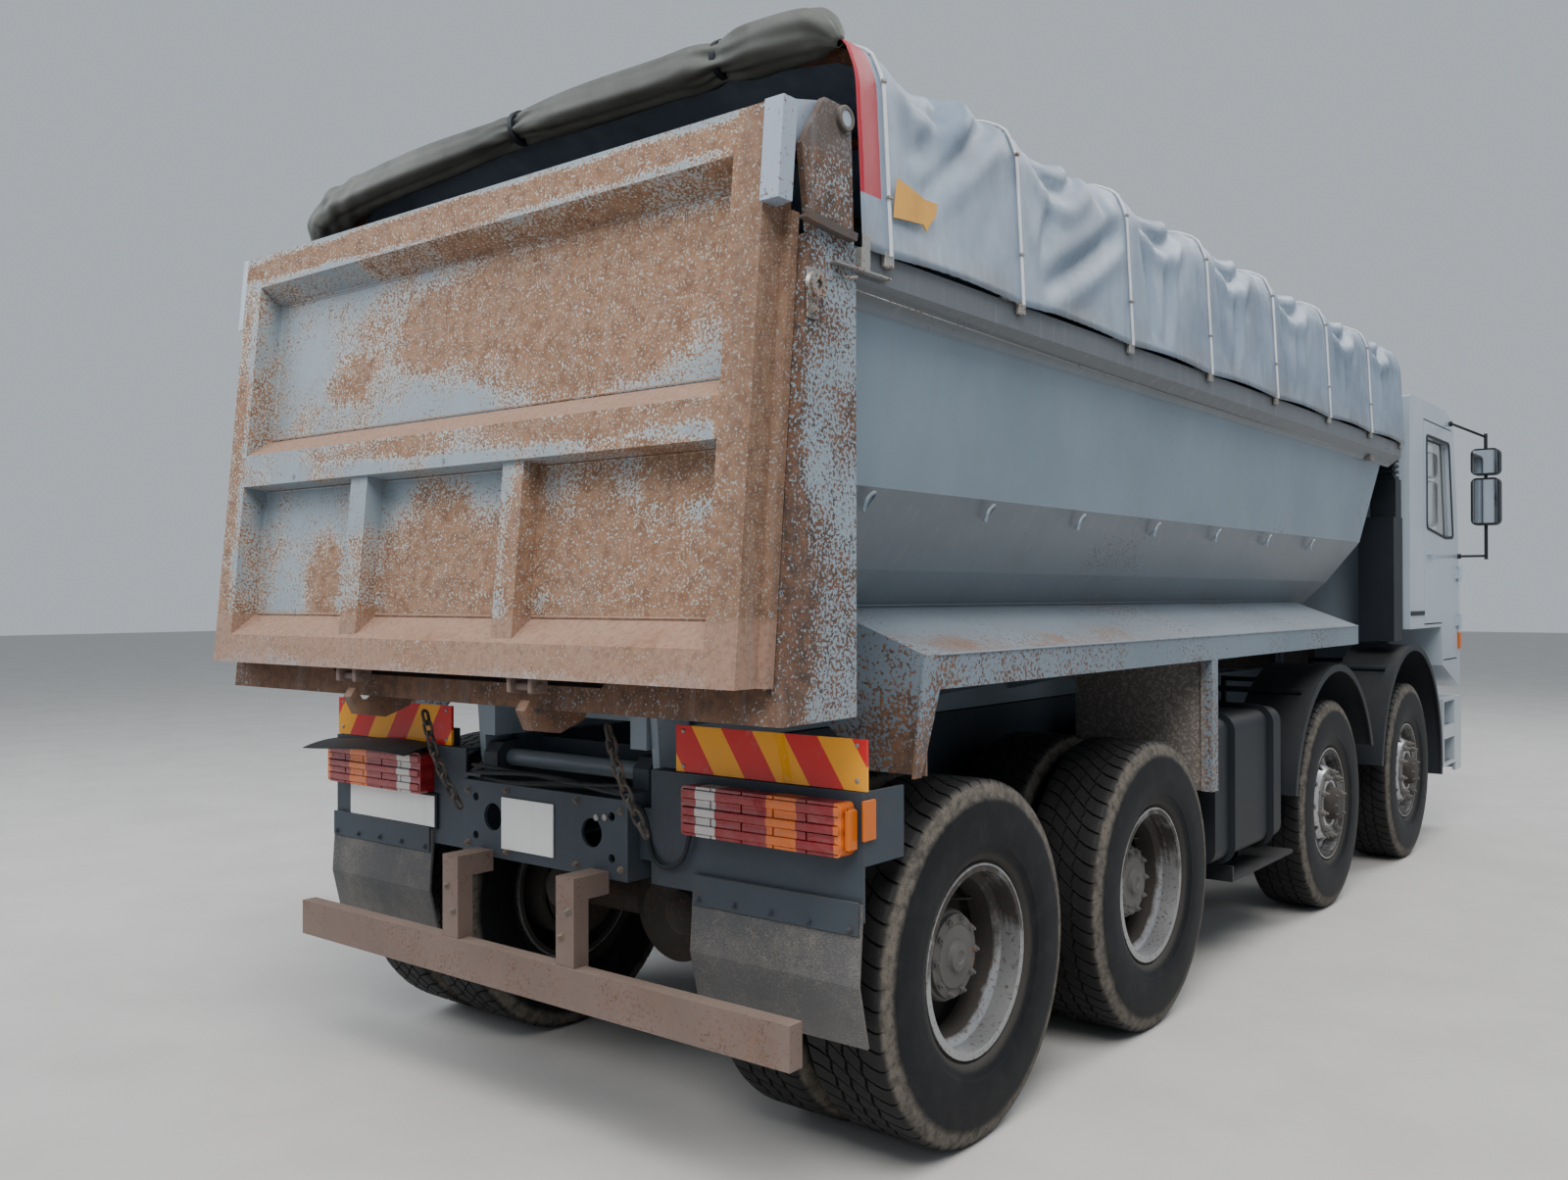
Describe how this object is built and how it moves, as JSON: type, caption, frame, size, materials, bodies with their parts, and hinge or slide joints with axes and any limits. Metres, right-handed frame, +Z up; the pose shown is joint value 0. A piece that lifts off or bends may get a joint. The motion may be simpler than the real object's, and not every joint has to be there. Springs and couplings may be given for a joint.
{
  "type": "dump truck",
  "caption": "Eight-wheel dump truck with a half-pipe tipping body, rusty top-hung tailgate, sheeted load space, front hoist and tilting day cab.",
  "frame": {"origin": "mid-length and mid-width of the truck, on the ground", "axes": "+Y forward, +X to the truck's right, +Z up"},
  "size_m": [2.98, 8.1573, 3.295],
  "materials": {
    "chassis_paint": "matte",
    "rusty_steel": "rusty",
    "lamp_lens": "gloss",
    "reflector_sheet": "gloss",
    "rubber_flap": "matte",
    "axle_iron": "rough",
    "chassis_plastic": "matte",
    "body_paint": "satin, dusty",
    "worn_body_paint": "worn, rust speckled",
    "rusty_body_paint": "worn, heavily rusted",
    "tarp_cloth": "satin coated cloth",
    "cab_paint": "gloss",
    "cab_glass": "clear",
    "tinted_plastic": "gloss",
    "seat_fabric": "woven",
    "cab_trim": "grained",
    "hoist_paint": "satin",
    "hoist_chrome": "polished",
    "tyre_rubber": "matte",
    "rim_steel": "dusty"
  },
  "bodies": {
    "chassis": {"chassis_frame": "chassis_paint", "subframe": "chassis_paint", "underrun_bar": "rusty_steel", "lamp_panels": "chassis_paint", "lamps": "lamp_lens", "reflector_boards": "reflector_sheet", "mud_flaps": "rubber_flap", "axles": "axle_iron", "leaf_springs": "axle_iron", "engine_block": "axle_iron", "side_tanks": "chassis_plastic", "front_mudguards": "chassis_plastic", "bumper_and_steps": "chassis_plastic", "air_intake": "chassis_plastic"},
    "tipper": {"tipper_hull": "body_paint", "front_wall": "body_paint", "rear_frame": "worn_body_paint", "wheel_guards": "worn_body_paint", "tarpaulin": "tarp_cloth", "tarp_hoops": "rusty_steel"},
    "tailgate": {"tailgate": "rusty_body_paint", "tailgate_brackets": "body_paint"},
    "cab": {"cab_shell": "cab_paint", "windscreen": "cab_glass", "grille": "chassis_plastic", "sun_visor": "tinted_plastic", "mirrors": "chassis_plastic", "seats": "seat_fabric", "dashboard": "cab_trim", "steering_wheel": "cab_trim"},
    "door_right": {"door_right": "cab_paint", "door_glass_right": "cab_glass"},
    "door_left": {"door_left": "cab_paint", "door_glass_left": "cab_glass"},
    "knuckle_1_right": {"knuckle_1_right": "axle_iron"},
    "wheel_1_right": {"tyre_1_right": "tyre_rubber", "rim_1_right": "rim_steel"},
    "knuckle_1_left": {"knuckle_1_left": "axle_iron"},
    "wheel_1_left": {"tyre_1_left": "tyre_rubber", "rim_1_left": "rim_steel"},
    "knuckle_2_right": {"knuckle_2_right": "axle_iron"},
    "wheel_2_right": {"tyre_2_right": "tyre_rubber", "rim_2_right": "rim_steel"},
    "knuckle_2_left": {"knuckle_2_left": "axle_iron"},
    "wheel_2_left": {"tyre_2_left": "tyre_rubber", "rim_2_left": "rim_steel"},
    "wheels_3_right": {"tyres_3_right": "tyre_rubber", "rims_3_right": "rim_steel"},
    "wheels_3_left": {"tyres_3_left": "tyre_rubber", "rims_3_left": "rim_steel"},
    "wheels_4_right": {"tyres_4_right": "tyre_rubber", "rims_4_right": "rim_steel"},
    "wheels_4_left": {"tyres_4_left": "tyre_rubber", "rims_4_left": "rim_steel"},
    "hoist_barrel": {"hoist_barrel": "hoist_paint"},
    "hoist_stage_1": {"hoist_stage_1": "hoist_chrome"},
    "hoist_stage_2": {"hoist_stage_2": "hoist_chrome"},
    "hoist_stage_3": {"hoist_stage_3": "hoist_chrome"},
    "hoist_stage_4": {"hoist_stage_4": "hoist_chrome"}
  },
  "joints": [
    {"name": "bed_tip", "type": "hinge", "parent": "chassis", "child": "tipper", "pos_m": [0, -3.461, 1.13], "axis": [1, 0, 0], "range_deg": [0, 45]},
    {"name": "tailgate_swing", "type": "hinge", "parent": "tipper", "child": "tailgate", "pos_m": [0, -3.703, 2.927], "axis": [-1, 0, 0], "range_deg": [0, 75]},
    {"name": "cab_tilt", "type": "hinge", "parent": "chassis", "child": "cab", "pos_m": [0, 4.009, 0.88], "axis": [-1, 0, 0], "range_deg": [0, 60]},
    {"name": "door_right_swing", "type": "hinge", "parent": "cab", "child": "door_right", "pos_m": [1.23, 3.973, 1.7], "axis": [0, 0, 1], "range_deg": [0, 65]},
    {"name": "door_left_swing", "type": "hinge", "parent": "cab", "child": "door_left", "pos_m": [-1.23, 3.973, 1.7], "axis": [0, 0, -1], "range_deg": [0, 65]},
    {"name": "steer_1_right", "type": "hinge", "parent": "chassis", "child": "knuckle_1_right", "pos_m": [0.85, 2.639, 0.56], "axis": [0, 0, 1], "range_deg": [-35, 35]},
    {"name": "roll_1_right", "type": "hinge", "parent": "knuckle_1_right", "child": "wheel_1_right", "pos_m": [1.043, 2.639, 0.56], "axis": [1, 0, 0], "continuous": true},
    {"name": "steer_1_left", "type": "hinge", "parent": "chassis", "child": "knuckle_1_left", "pos_m": [-0.85, 2.639, 0.56], "axis": [0, 0, 1], "range_deg": [-35, 35]},
    {"name": "roll_1_left", "type": "hinge", "parent": "knuckle_1_left", "child": "wheel_1_left", "pos_m": [-1.043, 2.639, 0.56], "axis": [1, 0, 0], "continuous": true},
    {"name": "steer_2_right", "type": "hinge", "parent": "chassis", "child": "knuckle_2_right", "pos_m": [0.85, 0.939, 0.56], "axis": [0, 0, 1], "range_deg": [-24.5, 24.5]},
    {"name": "roll_2_right", "type": "hinge", "parent": "knuckle_2_right", "child": "wheel_2_right", "pos_m": [1.043, 0.939, 0.56], "axis": [1, 0, 0], "continuous": true},
    {"name": "steer_2_left", "type": "hinge", "parent": "chassis", "child": "knuckle_2_left", "pos_m": [-0.85, 0.939, 0.56], "axis": [0, 0, 1], "range_deg": [-24.5, 24.5]},
    {"name": "roll_2_left", "type": "hinge", "parent": "knuckle_2_left", "child": "wheel_2_left", "pos_m": [-1.043, 0.939, 0.56], "axis": [1, 0, 0], "continuous": true},
    {"name": "roll_3_right", "type": "hinge", "parent": "chassis", "child": "wheels_3_right", "pos_m": [0.907, -1.561, 0.56], "axis": [1, 0, 0], "continuous": true},
    {"name": "roll_3_left", "type": "hinge", "parent": "chassis", "child": "wheels_3_left", "pos_m": [-0.907, -1.561, 0.56], "axis": [1, 0, 0], "continuous": true},
    {"name": "roll_4_right", "type": "hinge", "parent": "chassis", "child": "wheels_4_right", "pos_m": [0.907, -2.911, 0.56], "axis": [1, 0, 0], "continuous": true},
    {"name": "roll_4_left", "type": "hinge", "parent": "chassis", "child": "wheels_4_left", "pos_m": [-0.907, -2.911, 0.56], "axis": [1, 0, 0], "continuous": true},
    {"name": "hoist_swing", "type": "hinge", "parent": "chassis", "child": "hoist_barrel", "pos_m": [0, 1.989, 1.1], "axis": [1, 0, 0], "range_deg": [0, 26.91]},
    {"name": "hoist_extend_1", "type": "slide", "parent": "hoist_barrel", "child": "hoist_stage_1", "axis": [0, 0, 1], "range_m": [0, 1.0283]},
    {"name": "hoist_extend_2", "type": "slide", "parent": "hoist_stage_1", "child": "hoist_stage_2", "axis": [0, 0, 1], "range_m": [0, 1.0283]},
    {"name": "hoist_extend_3", "type": "slide", "parent": "hoist_stage_2", "child": "hoist_stage_3", "axis": [0, 0, 1], "range_m": [0, 1.0283]},
    {"name": "hoist_extend_4", "type": "slide", "parent": "hoist_stage_3", "child": "hoist_stage_4", "axis": [0, 0, 1], "range_m": [0, 1.0283]}
  ],
  "couplings": [
    {"joint": "steer_1_left", "follows": "steer_1_right", "ratio": 1},
    {"joint": "steer_2_right", "follows": "steer_1_right", "ratio": 0.7},
    {"joint": "steer_2_left", "follows": "steer_1_right", "ratio": 0.7},
    {"joint": "hoist_swing", "follows": "bed_tip", "ratio": 0.59365},
    {"joint": "hoist_extend_1", "follows": "bed_tip", "m_per_rad": 1.3067},
    {"joint": "hoist_extend_2", "follows": "bed_tip", "m_per_rad": 1.3067},
    {"joint": "hoist_extend_3", "follows": "bed_tip", "m_per_rad": 1.3067},
    {"joint": "hoist_extend_4", "follows": "bed_tip", "m_per_rad": 1.3067}
  ]
}
